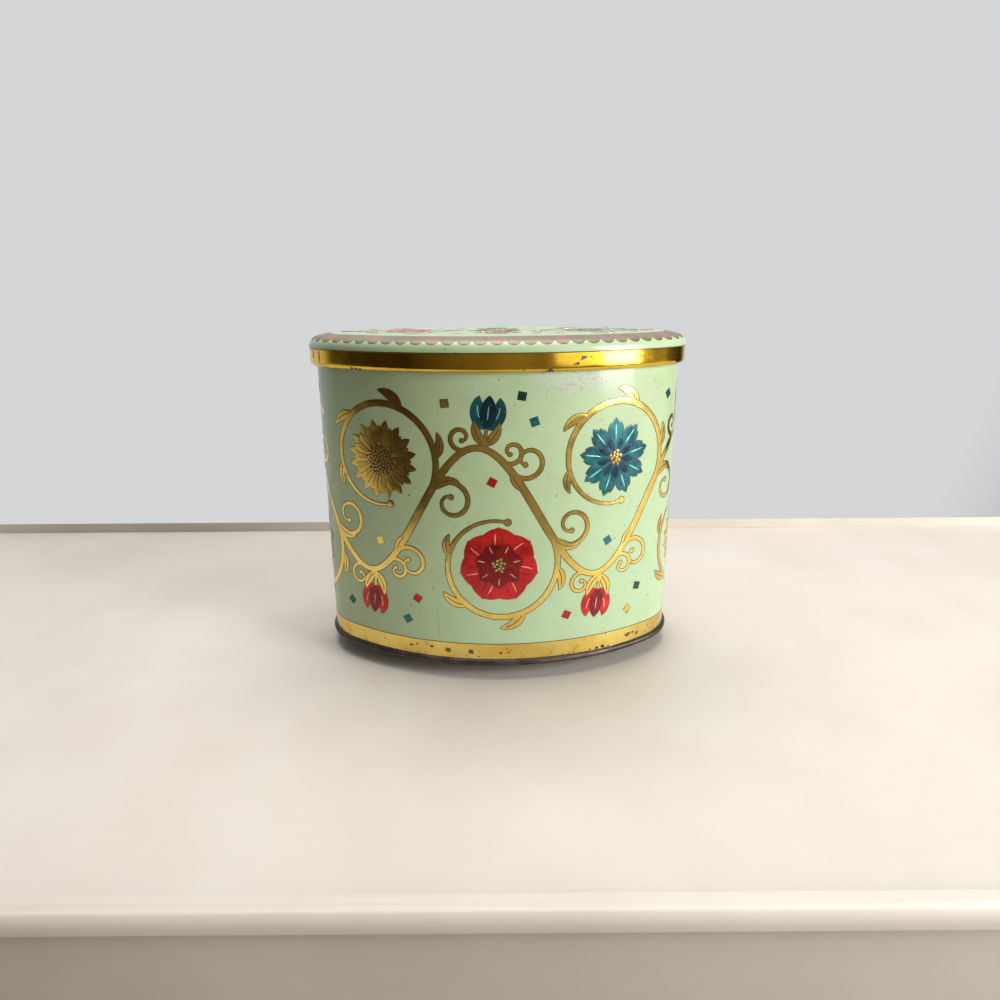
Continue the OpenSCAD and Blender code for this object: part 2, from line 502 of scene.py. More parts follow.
def spokes(count, start=0.0, offset=0.0):
    """Angles of evenly spaced spokes."""
    return [2 * math.pi * (i + offset) / count + start for i in range(count)]


def spiral(start, angle, hand, first, last, turn, steps=80, ease=1.35):
    """A path that winds left (hand 1) or right (hand -1), from a first radius to a last, and its centre."""
    centre = away(start, angle + hand * QUARTER, first)
    share = np.linspace(0, 1, steps)
    radius = first + (last - first) * share ** ease
    around = angle - hand * QUARTER + hand * math.radians(turn) * share
    return centre + radius[:, None] * circle(around), centre


def tapered(steps, root, tip, belly):
    """Widths from root to tip, swelling a little on the way."""
    share = np.linspace(0, 1, steps)
    return root + (tip - root) * share + belly * root * np.sin(math.pi * share) ** 2


def blade(start, angle, length, width, bend, fat):
    """A bent spine, and widths that close at both ends and are widest nearer the tip when fat is over 1."""
    share = np.linspace(0, 1, BLADE_STEPS)
    turns = angle + bend * share
    moves = circle(turns)[:-1] * length / (BLADE_STEPS - 1)
    path = np.asarray(start, float) + np.concatenate([[[0, 0]], np.cumsum(moves, 0)])
    return path, width * np.sin(math.pi * share ** fat) ** 0.75 + 0.02


def leaf(design, start, angle, length, width, bend):
    """A gold leaf with a fine line along its middle."""
    path, widths = design.petal("gold", start, angle, length, width, bend)
    design.stroke("outline", path[2:-3], np.minimum(0.3, widths[2:-3] / 4), "fine", 0)


def leaves_along(design, path, hand, leaves):
    """Leaves on one side of a path, each at a share of the way along it and of its own length."""
    for share, length in leaves:
        i = int(len(path) * share)
        leaf(design, path[i], heading(path, i) + hand * 0.75, length, 0.3 * length, -hand * 1.1)


def seed_head(design, centre, reach, seeds):
    """A dark round centre full of gold seeds, set out as a flower sets them."""
    design.spot("outline", centre, reach, "over", 0)
    for i in range(seeds):
        distance = reach * 0.9 * math.sqrt((i + 0.5) / seeds)
        seed = reach * 0.62 / math.sqrt(seeds)
        design.spot("gold", away(centre, i * GOLDEN_TURN, distance), seed, "fine", 0, 8)


def rose(design, centre, reach):
    """A red flower of two rings of broad petals, with light on their edges."""
    for angle in spokes(ROSE_PETALS, QUARTER):
        design.petal("red", away(centre, angle, 0.2 * reach), angle, 0.8 * reach, 0.82 * reach, 0, 1.5)
        for side, tone in ((-1, "red_dark"), (1, "red_light")):
            edge = away(centre, angle + 0.16 * side, 0.55 * reach)
            design.gleam(tone, edge, angle + 0.1 * side, 0.32 * reach, 0.4, -0.3 * side)
    for angle in spokes(ROSE_PETALS, QUARTER, 0.5):
        inner = away(centre, angle, 0.1 * reach)
        design.petal("red_dark", inner, angle, 0.52 * reach, 0.46 * reach, 0, 1.4, "over", 0.16)
        design.gleam("red_light", away(centre, angle, 0.36 * reach), angle, 0.2 * reach, 0.35)
    seed_head(design, centre, 0.2 * reach, 12)


def cornflower(design, centre, reach):
    """A teal flower whose petals each open in three points."""
    for angle in spokes(CORNFLOWER_PETALS, 0.2):
        root = away(centre, angle, 0.15 * reach)
        for fan, share in ((-0.2, 0.88), (0.2, 0.88), (0.0, 1.0)):
            design.petal("teal", root, angle + fan, 0.85 * reach * share, 0.24 * reach, 0, 1.7)
        design.gleam("teal_light", away(centre, angle, 0.45 * reach), angle, 0.42 * reach, 0.5, 0, 1.0)
    for angle in spokes(CORNFLOWER_PETALS, 0.2, 0.5):
        inner = away(centre, angle, 0.1 * reach)
        design.petal("teal_dark", inner, angle, 0.45 * reach, 0.18 * reach, 0, 1.3, "over", 0.12)
    seed_head(design, centre, 0.2 * reach, 12)


def sunflower(design, centre, reach):
    """A gold flower of many pointed rays round a wide seed head."""
    for offset, share, layer in ((0.5, 1.0, "main"), (0.0, 0.86, "over")):
        for angle in spokes(SUNFLOWER_RAYS, 0.0, offset):
            root = away(centre, angle, 0.34 * reach)
            length = (share - 0.34) * reach
            path, _ = design.petal("gold", root, angle, length, 0.25 * reach, 0, 0.95, layer, 0.22)
            design.stroke("outline", path[1:-5], 0.2, "fine", 0)
    seed_head(design, centre, 0.42 * reach, 60)


def tulip(design, colour, start, angle, size):
    """A bud seen from the side, on a short stem with two leaves."""
    stem = away(start, angle, np.linspace(0, 0.55 * size, 8)[:, None])
    design.stroke("gold", stem, 0.9)
    for side in (-1, 1):
        root = away(start, angle, 0.12 * size)
        leaf(design, root, angle + 0.95 * side, 0.75 * size, 0.24 * size, -1.0 * side)
    head = stem[-1]
    for side in (-1, 1):
        path, _ = design.petal(colour, head, angle + 0.85 * side, 0.95 * size, 0.4 * size, -1.15 * side, 0.85)
        design.stroke(colour + "_light", path[6:-4], 0.35, "fine", 0)
    design.petal(colour + "_dark", head, angle, 0.9 * size, 0.46 * size, 0, 0.85, "over", 0.16)
    design.gleam(colour + "_light", away(head, angle, 0.25 * size), angle, 0.4 * size, 0.35)


def tendril(design, start, angle, hand, reach, turn, width):
    """A gold curl that winds in to a round end."""
    path, _ = spiral(start, angle, hand, reach, 0.24 * reach, turn, 56, 1.0)
    design.stroke("gold", path, tapered(len(path), width, 0.7, 0.1))
    design.spot("gold", path[-1], 0.55 * width)


# Prints on the wall

def vine_height(run):
    return VINE_MID + VINE_SWING * np.cos(math.pi * np.asarray(run) / LOBE)


def vine_angle(run):
    return math.atan(-VINE_SWING * math.pi / LOBE * math.sin(math.pi * run / LOBE))


def on_vine(crest, up, along):
    """A point of the vine, at a distance along from a crest, and the vine's angle there."""
    spot = np.array([crest + along, VINE_MID + up * (vine_height(along) - VINE_MID)])
    return spot, up * vine_angle(along)


def fill_lobe(design, crest, up, flower, bud):
    """One lobe of the vine: a ring round a flower, with leaves, curls and a bud."""
    start, angle = on_vine(crest, up, RING_FROM)
    path, centre = spiral(start, angle, -up, RING_R, 0.76 * RING_R, 312)
    design.stroke("gold", path, tapered(len(path), 2.1, 0.9, 0.25))
    design.spot("gold", path[-1], 1.3)
    flower(design, centre, FLOWER_SHARE * RING_R)
    leaves_along(design, path, up, ((0.12, 10), (0.3, 12), (0.5, 11), (0.7, 9)))
    start, angle = on_vine(crest, up, -0.38 * LOBE)
    tendril(design, start, angle, -up, 0.19 * LOBE, 420, 1.7)
    leaf(design, start, angle - up * 0.15, 12, 3.4, -up * 1.2)
    start, angle = on_vine(crest, up, -0.72 * LOBE)
    tendril(design, start, angle, -up, 0.16 * LOBE, 380, 1.6)
    leaf(design, start, angle + up * 0.45, 9, 2.6, -up * 0.9)
    start, angle = on_vine(crest, up, BUD_AT)
    tulip(design, bud, start, up * QUARTER - 0.12, BUD_SIZE)
    for side in (-1, 1):
        start, angle = on_vine(crest, up, BUD_AT + side * 6.5)
        lead = angle if side > 0 else angle + math.pi
        tendril(design, start, lead, side * up, 5.0, 370, 1.4)


def wall_design():
    """The vine with its lobes, and lozenges in the open ground."""
    design = Design("wall_print", on_wall)
    shift = -(RING_FROM + RING_R * math.sin(vine_angle(RING_FROM)))
    flowers = [rose, cornflower, sunflower, rose, cornflower, rose, cornflower, sunflower]
    buds = ["teal", "red", "red", "teal", "red", "teal", "red", "red"]
    run = np.linspace(0, ROUND, VINE_STEPS)
    swell = VINE_W * (0.9 + 0.3 * np.sin(math.pi * (run - shift) / LOBE) ** 2)
    design.stroke("gold", np.stack([run, vine_height(run - shift)], 1), swell)
    lobes = [(lobe, lobe * LOBE + shift, 1 if lobe % 2 == 0 else -1) for lobe in range(2 * VINE_WAVES)]
    for lobe, crest, up in lobes:
        fill_lobe(design, crest, up, flowers[lobe], buds[lobe])
    for lobe, crest, up in lobes:
        for i, (along, rise, turn) in enumerate(LOZENGES):
            tone = LOZENGE_TONES[(i + lobe) % len(LOZENGE_TONES)]
            centre = (crest + along * LOBE, VINE_MID + up * rise * VINE_SWING)
            design.lozenge(tone, centre, 2.1, turn + lobe)
    return design


# Prints on the lid

def bow(first, pull, last):
    """A path from first to last, drawn towards pull."""
    share = np.linspace(0, 1, BOW_STEPS)[:, None]
    first, pull, last = (np.asarray(p, float) for p in (first, pull, last))
    return first * (1 - share) ** 2 + 2 * pull * share * (1 - share) + last * share ** 2


def lid_half(design, flower, bud, end_bud):
    """Half of the lid's design: a ring round a flower, with curls, leaves and buds."""
    leave = math.radians(150)
    start = away(LID_RING, leave, LID_RING_R)
    path, _ = spiral(start, leave - QUARTER, -1, LID_RING_R, 0.78 * LID_RING_R, 318)
    stem = bow((9.0, -6.0), (18.6, 0.0), start)
    whole = np.concatenate([stem[:-1], path])
    design.stroke("gold", whole, tapered(len(whole), 2.0, 0.9, 0.2))
    design.spot("gold", path[-1], 1.2)
    flower(design, LID_RING, FLOWER_SHARE * LID_RING_R)
    leaves_along(design, path, 1, ((0.06, 8), (0.34, 9), (0.5, 8), (0.62, 9)))
    for around, reach in ((100, 5.2), (-82, 5.2), (188, 4.6)):
        turn = math.radians(around)
        tendril(design, away(LID_RING, turn, LID_RING_R), turn - 1.05, 1, reach, 390, 1.5)
    tendril(design, stem[10], heading(stem, 10) - 0.5, -1, 5.4, 390, 1.5)
    tulip(design, end_bud, away(LID_RING, 0, LID_RING_R + 0.5), 0.0, 8.2)
    tulip(design, bud, (0.0, 12.0), QUARTER, 9.0)
    for side in (-1, 1):
        leaf(design, (1.5 * side, 12.5), QUARTER - 1.15 * side, 11, 3.0, 0.9 * side)
    for i, spot in enumerate(LID_LOZENGES):
        design.lozenge(LID_LOZENGE_TONES[i % len(LID_LOZENGE_TONES)], spot, 1.9, 0.4 + i)


def lid_design():
    """A gold flower in the middle of the lid, and on each side the same scrolls, turned half way round."""
    design = Design("lid_print", on_lid_top)
    sunflower(design, (0, 0), LID_SUN_R)
    lid_half(design, cornflower, "teal", "red")
    design.sign = -1
    lid_half(design, rose, "red", "teal")
    return design


def lid_border():
    """The scalloped border over the lid's shoulder, in soft metallic tones."""
    border = Design("lid_border", on_lid_rim)
    across = np.linspace(-1, 1, 15)[:, None]
    edge = SCALLOP_TIP + (SCALLOP_CUSP - SCALLOP_TIP) * np.abs(across) ** SCALLOP_ROUND
    inner = np.linspace(0.04, 0.96, 12)
    shares = np.concatenate([[0, 0], inner, [1, 1]])
    for i in range(SCALLOPS):
        run = ROUND / SCALLOPS * (i + across / 2 * SCALLOP_FILL)
        tone = SCALLOP_TONES[i % len(SCALLOP_TONES)]
        for colour, grow, low, high in (("outline", 0.25, 0.0, 0.03), (tone, 0.0, 0.03, 0.06)):
            depth = edge - grow + (SCALLOP_IN + grow - edge + grow) * shares
            lift = np.array([-PRINT_SKIRT, low] + [high] * len(inner) + [low, -PRINT_SKIRT])
            spots = np.stack(np.broadcast_arrays(run, depth), -1)
            border.print_of(colour).add(raised(spots, lift))
    return border


# Materials

def paint(red, green, blue):
    """A display colour, 0 to 255, as a linear colour."""
    shares = [c / 255 for c in (red, green, blue)]
    return [s / 12.92 if s < 0.04045 else ((s + 0.055) / 1.055) ** 2.4 for s in shares] + [1.0]


class Nodes:
    """Short ways to add nodes to a tree."""

    def __init__(self, tree):
        self.tree = tree

    def add(self, kind, **inputs):
        """A new node, with its named inputs fed."""
        node = self.tree.nodes.new("ShaderNode" + kind)
        for name, value in inputs.items():
            self.feed(node.inputs[name], value)
        return node

    def feed(self, socket, value):
        """Links a node's output to a socket, or sets the socket to a plain value."""
        if isinstance(value, bpy.types.NodeSocket):
            self.tree.links.new(value, socket)
        else:
            socket.default_value = value

    def join(self, kind, operation, first, second):
        """The outputs of a node that works on two values."""
        node = self.add(kind)
        node.operation = operation
        self.feed(node.inputs[0], first)
        self.feed(node.inputs[1], second)
        return node.outputs

    def times(self, first, second):
        return self.join("Math", "MULTIPLY", first, second)[0]

    def ramp(self, value, low, high, first=0.0, last=1.0):
        """A smooth step from first to last as value goes from low to high."""
        node = self.add("MapRange")
        node.interpolation_type = "SMOOTHSTEP"
        for socket, number in zip(node.inputs[:5], (value, low, high, first, last)):
            self.feed(socket, number)
        return node.outputs[0]

    def mix(self, share, first, second):
        """A colour between two."""
        node = self.add("Mix")
        node.data_type = "RGBA"
        self.feed(node.inputs[0], share)
        self.feed(node.inputs[6], first)
        self.feed(node.inputs[7], second)
        return node.outputs[2]


class Look(Nodes):
    """A node material: its Principled shader and what feeds it, over the tin's own coordinates in metres."""

    def __init__(self, name, coat=None, coat_rough=None, ior=None):
        self.material = bpy.data.materials.new(name)
        self.material.use_nodes = True
        super().__init__(self.material.node_tree)
        self.shader = self.tree.nodes["Principled BSDF"]
        self.settings = {"Coat Weight": coat, "Coat Roughness": coat_rough, "IOR": ior}
        self.place = self.add("TexCoord").outputs["Object"]
        self.tone = None
        self.normal = None

    def noise(self, size, detail, stretch=(1, 1, 1), rough=0.55):
        """Cloudy noise with features of about size millimetres."""
        scale = [s / (size * MM) for s in stretch]
        place = self.add("Mapping", Vector=self.place, Scale=scale).outputs["Vector"]
        return self.add("TexNoise", Vector=place, Scale=1.0, Detail=detail, Roughness=rough).outputs["Fac"]

    def cloud(self, size, detail, low, high, first=0.0, last=1.0, stretch=(1, 1, 1), rough=0.55):
        """Noise, stepped smoothly from first to last between two of its levels."""
        return self.ramp(self.noise(size, detail, stretch, rough), low, high, first, last)

    def specks(self, size, level):
        """Sparse specks of about a size, where the noise is above a level."""
        return self.cloud(size, 2.0, level, level + 0.03)

    def base(self, size, detail, low, high, first, second):
        """Starts the tone with two colours, mixed in clouds."""
        self.tone = self.mix(self.cloud(size, detail, low, high), paint(*first), paint(*second))

    def tint(self, share, stain, amount=1.0):
        """Lays an amount of a stain's colour over the tone, where share is high."""
        if amount < 1:
            share = self.times(share, amount)
        self.tone = self.mix(share, self.tone, paint(*stain))

    def part(self, axis):
        """One coordinate of the surface, in millimetres."""
        node = self.add("SeparateXYZ", Vector=self.place)
        return self.join("Math", "DIVIDE", node.outputs[axis], MM)[0]

    def bump(self, size, detail, depth, strength, stretch=(1, 1, 1)):
        """Adds relief of about depth millimetres, with features of about size millimetres."""
        height = self.noise(size, detail, stretch)
        node = self.add("Bump", Distance=depth * MM, Strength=strength, Height=height)
        if self.normal is not None:
            self.feed(node.inputs["Normal"], self.normal)
        self.normal = node.outputs["Normal"]

    def finish(self, rough, metal=0.0):
        """Feeds the shader, and gives the material."""
        fed = {"Base Color": self.tone, "Roughness": rough, "Metallic": metal, "Normal": self.normal}
        for socket, value in (self.settings | fed).items():
            if value is not None:
                self.feed(self.shader.inputs[socket], value)
        return self.material


def rubbed_and_sheen_patch(look):
    """Where the enamel is pale on the right of the front just under the lid: partly rubbed, partly a painted
    sheen of reflected light.
    """
    along = look.part("X")
    height = look.part("Z")
    patch = look.times(look.ramp(along, 8, 24), look.ramp(along, 56, 38))
    level = look.times(look.ramp(height, 104, 112), look.ramp(height, 120, 118))
    return look.times(look.times(patch, level), look.ramp(look.part("Y"), 0, -8))


def enamel():
    """Pale green stoving enamel: a little uneven in tone, specked, scuffed where the lid rubs, and pale at
    the front's right, partly rubbed and partly painted sheen.
    """
    look = Look("green_enamel", 0.45, 0.13, 1.4)
    look.base(70, 3.0, 0.3, 0.7, (172, 194, 154), (166, 192, 157))
    look.tint(look.cloud(9, 6.0, 0.35, 0.75, 0.0, 0.35), (157, 177, 134))
    smear = look.cloud(16, 7.0, 0.52, 0.72, stretch=(1, 1, 1.6), rough=0.7)
    scuff = look.times(look.ramp(look.part("Z"), 96, 114), smear)
    look.tint(scuff, (186, 192, 182), 0.45)
    look.tint(look.times(look.cloud(1.1, 3.0, 0.6, 0.75), scuff), (96, 92, 80), 0.7)
    # Pale tint on the front's right: partly rubbed enamel, partly a painted sheen of reflected light, with
    # dark scuffs in it
    rubs_and_sheen = look.times(rubbed_and_sheen_patch(look), look.cloud(7, 6.0, 0.3, 0.6, rough=0.7))
    look.tint(rubs_and_sheen, (180, 186, 180), 0.6)
    look.tint(look.times(rubs_and_sheen, look.cloud(0.7, 4.0, 0.55, 0.68)), (84, 84, 74), 0.75)
    look.tint(look.cloud(2.5, 2.0, 0.68, 0.74, stretch=(1, 1, 0.06)), (108, 118, 94), 0.25)
    look.tint(look.specks(0.8, 0.71), (82, 66, 48))
    look.tint(look.specks(2.2, 0.74), (92, 84, 66))
    look.bump(34, 2.0, 0.12, 0.5)
    look.bump(0.9, 3.0, 0.004, 0.5)
    return look.finish(look.cloud(22, 5.0, 0.25, 0.8, 0.38, 0.52))


def gold_lacquer():
    """Gold lacquer on the lid's band: polished, a little wavy, browned in places and specked."""
    look = Look("gold_lacquer", 0.25, 0.08)
    look.base(20, 5.0, 0.3, 0.75, (228, 192, 58), (206, 160, 44))
    look.tint(look.cloud(3.0, 4.0, 0.45, 0.75, stretch=(0.06, 0.06, 1)), (150, 104, 34), 0.35)
    spots = look.specks(0.7, 0.69)
    look.tint(spots, (52, 36, 22))
    look.bump(24, 2.0, 0.3, 0.8)
    look.bump(0.6, 3.0, 0.003, 0.4, (0.3, 0.3, 1))
    polish = look.cloud(8, 6.0, 0.3, 0.8, 0.13, 0.24)
    rough = look.join("Math", "ADD", polish, look.times(spots, 0.4))[0]
    return look.finish(rough, look.ramp(spots, 0.0, 1.0, 1.0, 0.3))


def gold_print():
    """Gold print: a metallic film, a little satin, with rubbed and browned patches."""
    look = Look("gold_print", 0.2, 0.2)
    look.base(14, 5.0, 0.3, 0.72, (240, 216, 126), (222, 190, 94))
    look.tint(look.cloud(4.5, 5.0, 0.58, 0.74), (140, 98, 44), 0.45)
    rust = look.specks(1.3, 0.70)
    look.tint(rust, (74, 50, 34))
    look.bump(0.8, 3.0, 0.003, 0.4)
    return look.finish(look.cloud(6, 5.0, 0.3, 0.8, 0.17, 0.28), look.ramp(rust, 0.0, 1.0, 1.0, 0.2))


def dark_print():
    """Dark brown outline ink."""
    look = Look("outline_ink", 0.2, 0.2)
    look.base(5, 4.0, 0.35, 0.7, (78, 58, 30), (52, 40, 24))
    return look.finish(look.cloud(3, 3.0, 0.3, 0.7, 0.35, 0.5), 0.25)


def film(name, deep, bright, metal=0.5, matt=0.22, coat=GLOSSY):
    """A see-through coloured lacquer over bright metal, deeper in places."""
    look = Look(name, coat, 0.12)
    look.base(8, 4.0, 0.3, 0.7, deep, bright)
    look.tint(look.specks(0.9, 0.72), (160, 150, 130))
    look.bump(0.9, 3.0, 0.003, 0.5)
    return look.finish(look.cloud(4, 4.0, 0.3, 0.8, matt, matt + 0.16), metal)


def tarnish():
    """Tinplate gone dark on the base and its bead, with worn bright edges and brown stains."""
    look = Look("tarnished_tinplate")
    look.base(9, 6.0, 0.3, 0.7, (88, 80, 78), (58, 50, 48))
    rust = look.cloud(5, 6.0, 0.6, 0.72)
    look.tint(rust, (92, 58, 36), 0.7)
    look.tint(look.cloud(1.6, 2.0, 0.68, 0.75, stretch=(0.08, 1, 1)), (150, 146, 140), 0.5)
    look.bump(1.2, 5.0, 0.015, 0.5)
    return look.finish(look.cloud(4, 5.0, 0.3, 0.75, 0.34, 0.6), look.ramp(rust, 0.0, 1.0, 0.8, 0.2))


def tinplate():
    """Bright tinplate inside, under a thin yellowed lacquer."""
    look = Look("bright_tinplate", 0.15, 0.2)
    look.base(30, 5.0, 0.3, 0.7, (206, 198, 176), (186, 176, 150))
    look.tint(look.cloud(3.0, 5.0, 0.5, 0.75, stretch=(1, 1, 0.1)), (140, 132, 118), 0.3)
    look.tint(look.cloud(6, 6.0, 0.64, 0.74), (118, 92, 62), 0.6)
    look.bump(0.7, 3.0, 0.005, 0.5)
    return look.finish(look.cloud(5, 5.0, 0.3, 0.8, 0.3, 0.48), 0.72)


def make_looks():
    return {
        "enamel": enamel(),
        "lacquer": gold_lacquer(),
        "gold": gold_print(),
        "outline": dark_print(),
        "tarnish": tarnish(),
        "tinplate": tinplate(),
        "red": film("red_film", (168, 16, 20), (206, 34, 34)),
        "red_dark": film("dark_red_film", (104, 8, 14), (136, 12, 18)),
        "red_light": film("pale_red_film", (226, 150, 140), (240, 186, 172), 0.3),
        "teal": film("teal_film", (10, 74, 86), (18, 104, 112)),
        "teal_dark": film("dark_teal_film", (8, 38, 56), (10, 54, 70)),
        "teal_light": film("pale_teal_film", (120, 186, 184), (158, 208, 200), 0.3),
        "green": film("dark_green_film", (12, 58, 48), (24, 80, 62)),
        "pink": film("pink_film", (140, 112, 102), (152, 122, 110), 0.4, 0.45, DULL),
        "bronze": film("bronze_film", (126, 112, 100), (138, 124, 110), 0.4, 0.45, DULL),
        "olive": film("olive_film", (126, 116, 90), (138, 128, 100), 0.4, 0.45, DULL),
        "bare": film("bare_metal", (98, 90, 88), (72, 64, 62), 0.2, 0.4, DULL),
        "rust": film("rust", (58, 40, 28), (36, 26, 20), 0.1, 0.5, DULL),
        "stain": film("stain", (132, 96, 44), (104, 76, 38), 0.6, 0.35, DULL),
    }


# Pieces of the tin

def place_piece(piece, body, node=None):
    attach(piece, body)
    if node:
        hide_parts(node)


def body_wall(looks):
    """Rolled wall: enamel outside, tinplate inside, a curled mouth and a scored seam at the back."""
    outside = [(0, up) for up in np.linspace(BEAD_R, CURL_Z, 14)]
    curl = arc((-CURL_R, CURL_Z), CURL_R, 0, 1.5 * math.pi, 20)[1:]
    hollow = arc((-CURL_R, CURL_Z), CURL_R - SHEET, 1.5 * math.pi, 0, 16)
    inside = [(-SHEET, up) for up in np.linspace(CURL_Z, BEAD_R, 8)][1:]
    section = outside + curl + hollow + inside
    painted = len(outside) + CURL_PAINTED
    piece = sweep("wall", section, looks, "enamel", painted, [HALF_ROUND], range(len(outside)))
    place_piece(piece, "tin", "body_wall")


def wall_seam(looks):
    """The lap of the side seam, inside the wall at the back."""
    runs = HALF_ROUND + np.linspace(-SEAM_W / 2, SEAM_W / 2, 7)
    ups = np.linspace(FLOOR_TOP + SHEET, CURL_Z - CURL_R - SHEET, 12)
    runs, ups = np.meshgrid(np.pad(runs, 1, "edge"), np.pad(ups, 1, "edge"))
    outs = np.full(runs.shape, SEAM_ROOT)
    outs[1:-1, 1:-1] = -2 * SHEET
    points = on_wall(runs, ups, outs).reshape(-1, 3)
    piece = add_mesh("wall_seam", points, grid_faces(*runs.shape), [looks["tinplate"]])
    place_piece(piece, "tin")


def base_panel(looks):
    """Countersunk base and the bead that holds it on the wall."""
    bead = arc((BEAD_X, BEAD_R), BEAD_R, 0.62 * math.pi, -0.5 * math.pi, 24)
    under = [(LEG_IN + EDGE_R, 0), (LEG_IN, EDGE_R)]
    under += arc((FLOOR_EDGE, BASE_SINK - BEND_R), BEND_R, 0, QUARTER, 8)
    top = arc((FLOOR_EDGE, BASE_SINK - BEND_R), BEND_R + SHEET, QUARTER, 0, 8)
    down = [(LEG_OUT, BEAD_R), (-SHEET / 2, BEAD_R)]
    section = under[::-1] + bead[::-1] + down[::-1] + top[::-1]
    piece = sweep("base", section, looks, "tarnish", len(under) + len(bead), closed=True)
    place_piece(piece, "tin", "base_panel")


def foot_band(looks):
    """The printed gold band at the wall's foot, and the dark line along its top."""
    rings = (("foot_band", "gold", RIM_H - 0.3, FOOT_TOP, 0.035),
             ("foot_line", "outline", FOOT_TOP - 0.1, FOOT_TOP + 0.2, 0.045))
    for name, tone, low, high, lift in rings:
        ring = Print(name, on_wall)
        faces = [(low, lift), ((low + high) / 2, lift), (high, lift)]
        ring.add_ring([(low, -PRINT_SKIRT)] + faces + [(high, -PRINT_SKIRT)])
        ring.build(looks[tone], "tin", SLOT_OF[tone])


def lid_panel(looks):
    """Pressed lid: enamel on top, tinplate beneath, with the flange that the band is closed on."""
    crown = arc((FLAT_EDGE, CROWN_Z), CROWN_R, QUARTER, CROWN_MEET, 12)
    shoulder = arc((SHOULDER_X, SHOULDER_Z), SHOULDER_R, CROWN_MEET, 0, 16)[1:]
    flange = [(FLANGE_OUT, SHOULDER_Z), (FLANGE_OUT, HEM_Z)]
    flange += [(FLANGE_IN, HEM_Z), (FLANGE_IN, SHOULDER_Z - SHEET)]
    within = arc((SHOULDER_X, SHOULDER_Z), SHOULDER_R - SHEET, 0.12, CROWN_MEET, 12)
    under = arc((FLAT_EDGE, CROWN_Z), CROWN_R - SHEET, CROWN_MEET, QUARTER, 10)[1:]
    section = crown + shoulder + flange + within + under
    piece = sweep("lid_top", section, looks, "enamel", len(crown) + len(shoulder), closed=True)
    place_piece(piece, "lid", "lid_panel")


def band_laps():
    """Where the two lines of the band's lap are, along the wall's outside."""
    turn = END_TURN - LAP_TURN
    half = LAP_W / 2 / (END_R + LID_OVER)
    return [-(SIDE_RUN + (turn + side * half) * END_R) for side in (-1, 1)]


def lid_band(looks):
    """Gold band of the lid, its lower edge turned in to the wall and its ends lapped near the left end."""
    top = [(BAND_OUT - SHEET, BAND_TOP), (BAND_OUT - EDGE_R, BAND_TOP), (BAND_OUT, BAND_TOP - EDGE_R)]
    face = [(BAND_OUT, up) for up in np.linspace(BAND_TOP - EDGE_R, HEM_Z, 5)][1:]
    hem = arc((BAND_OUT - HEM_R, HEM_Z), HEM_R, 0, -QUARTER, 12)[1:]
    edge = [(SLIP_GAP + EDGE_R, BAND_Z), (SLIP_GAP, BAND_Z + EDGE_R), (SLIP_GAP, BAND_Z + SHEET)]
    back = arc((BAND_OUT - HEM_R, HEM_Z), HEM_R - SHEET, -QUARTER, 0, 10)
    section = top + face + hem + edge + back
    scored = range(2, len(top) + len(face) + len(hem))
    painted = len(section) - len(back)
    piece = sweep("lid_band_gold", section, looks, "lacquer", painted, band_laps(), scored)
    place_piece(piece, "lid", "lid_band")


def lid_shade_line(looks):
    """Painted shade: a dark line of ink in the crease between the lid's shoulder and its band."""
    line = Print("lid_shade_line", on_wall)
    low = BAND_TOP - 0.02
    high = SHOULDER_Z + 0.02
    root = FLANGE_OUT - 0.02
    brim = BAND_OUT - 0.1
    middle = (BAND_TOP + SHADE_LINE_H / 2, BAND_OUT - 0.06)
    line.add_ring([(low, root), (low, brim), middle, (high, brim), (high, root)])
    line.build(looks["outline"], "lid", "dark_print")


def chip(design, dice, tone, centre, size):
    """An irregular flake of lost lacquer."""
    turns = np.linspace(0, 2 * math.pi, CHIP_SIDES, endpoint=False)
    reach = size * dice.uniform(0.55, 1.0, CHIP_SIDES)
    edge = circle(turns) * [1, CHIP_FLAT] * reach[:, None]
    edge = np.concatenate([edge, edge[:1]])
    low, high = design.heights("wear")
    spots = edge[:, None] * np.array(CHIP_SHARES)[:, None] + centre
    design.print_of(tone).add(raised(spots, np.array([-PRINT_SKIRT, low, high, high])))


def band_wear(dice):
    """Chips and rust on the lid's band, and the dark lines of its lap."""
    band = Design("lid_wear", on_lid_band)
    for tone, run, down, size in BAND_KNOCKS:
        chip(band, dice, tone, (run, down), size)
    for _ in range(BAND_SPECKS):
        place = (dice.uniform(0, ROUND), dice.choice(BAND_SPECK_DOWN))
        chip(band, dice, "rust", place, dice.uniform(0.12, 0.42))
    for lap, foot in zip(band_laps(), LAP_FEET):
        band.stroke("rust", [(lap, 0.3), (lap, foot / 2), (lap, foot)], (0.35, 0.55, 0.4), "wear", 0)
    return band


def foot_wear(dice):
    """Stains, chips and rust on the wall's foot, and the dark line of the side seam."""
    foot = Design("foot_wear", on_wall)
    for tone, run, up, size in FOOT_KNOCKS:
        chip(foot, dice, tone, (run, up), size)
    for _ in range(FOOT_SPECKS):
        height = RIM_H + dice.exponential(1.6)
        place = (dice.uniform(0, ROUND), min(height, FOOT_TOP))
        chip(foot, dice, "rust", place, dice.uniform(0.12, 0.45))
    seam = np.linspace(RIM_H, CURL_Z - 1, 20)
    foot.stroke("outline", np.stack([np.full_like(seam, HALF_ROUND), seam], 1), 0.24, "fine", 0)
    return foot


# Camera, floor and light

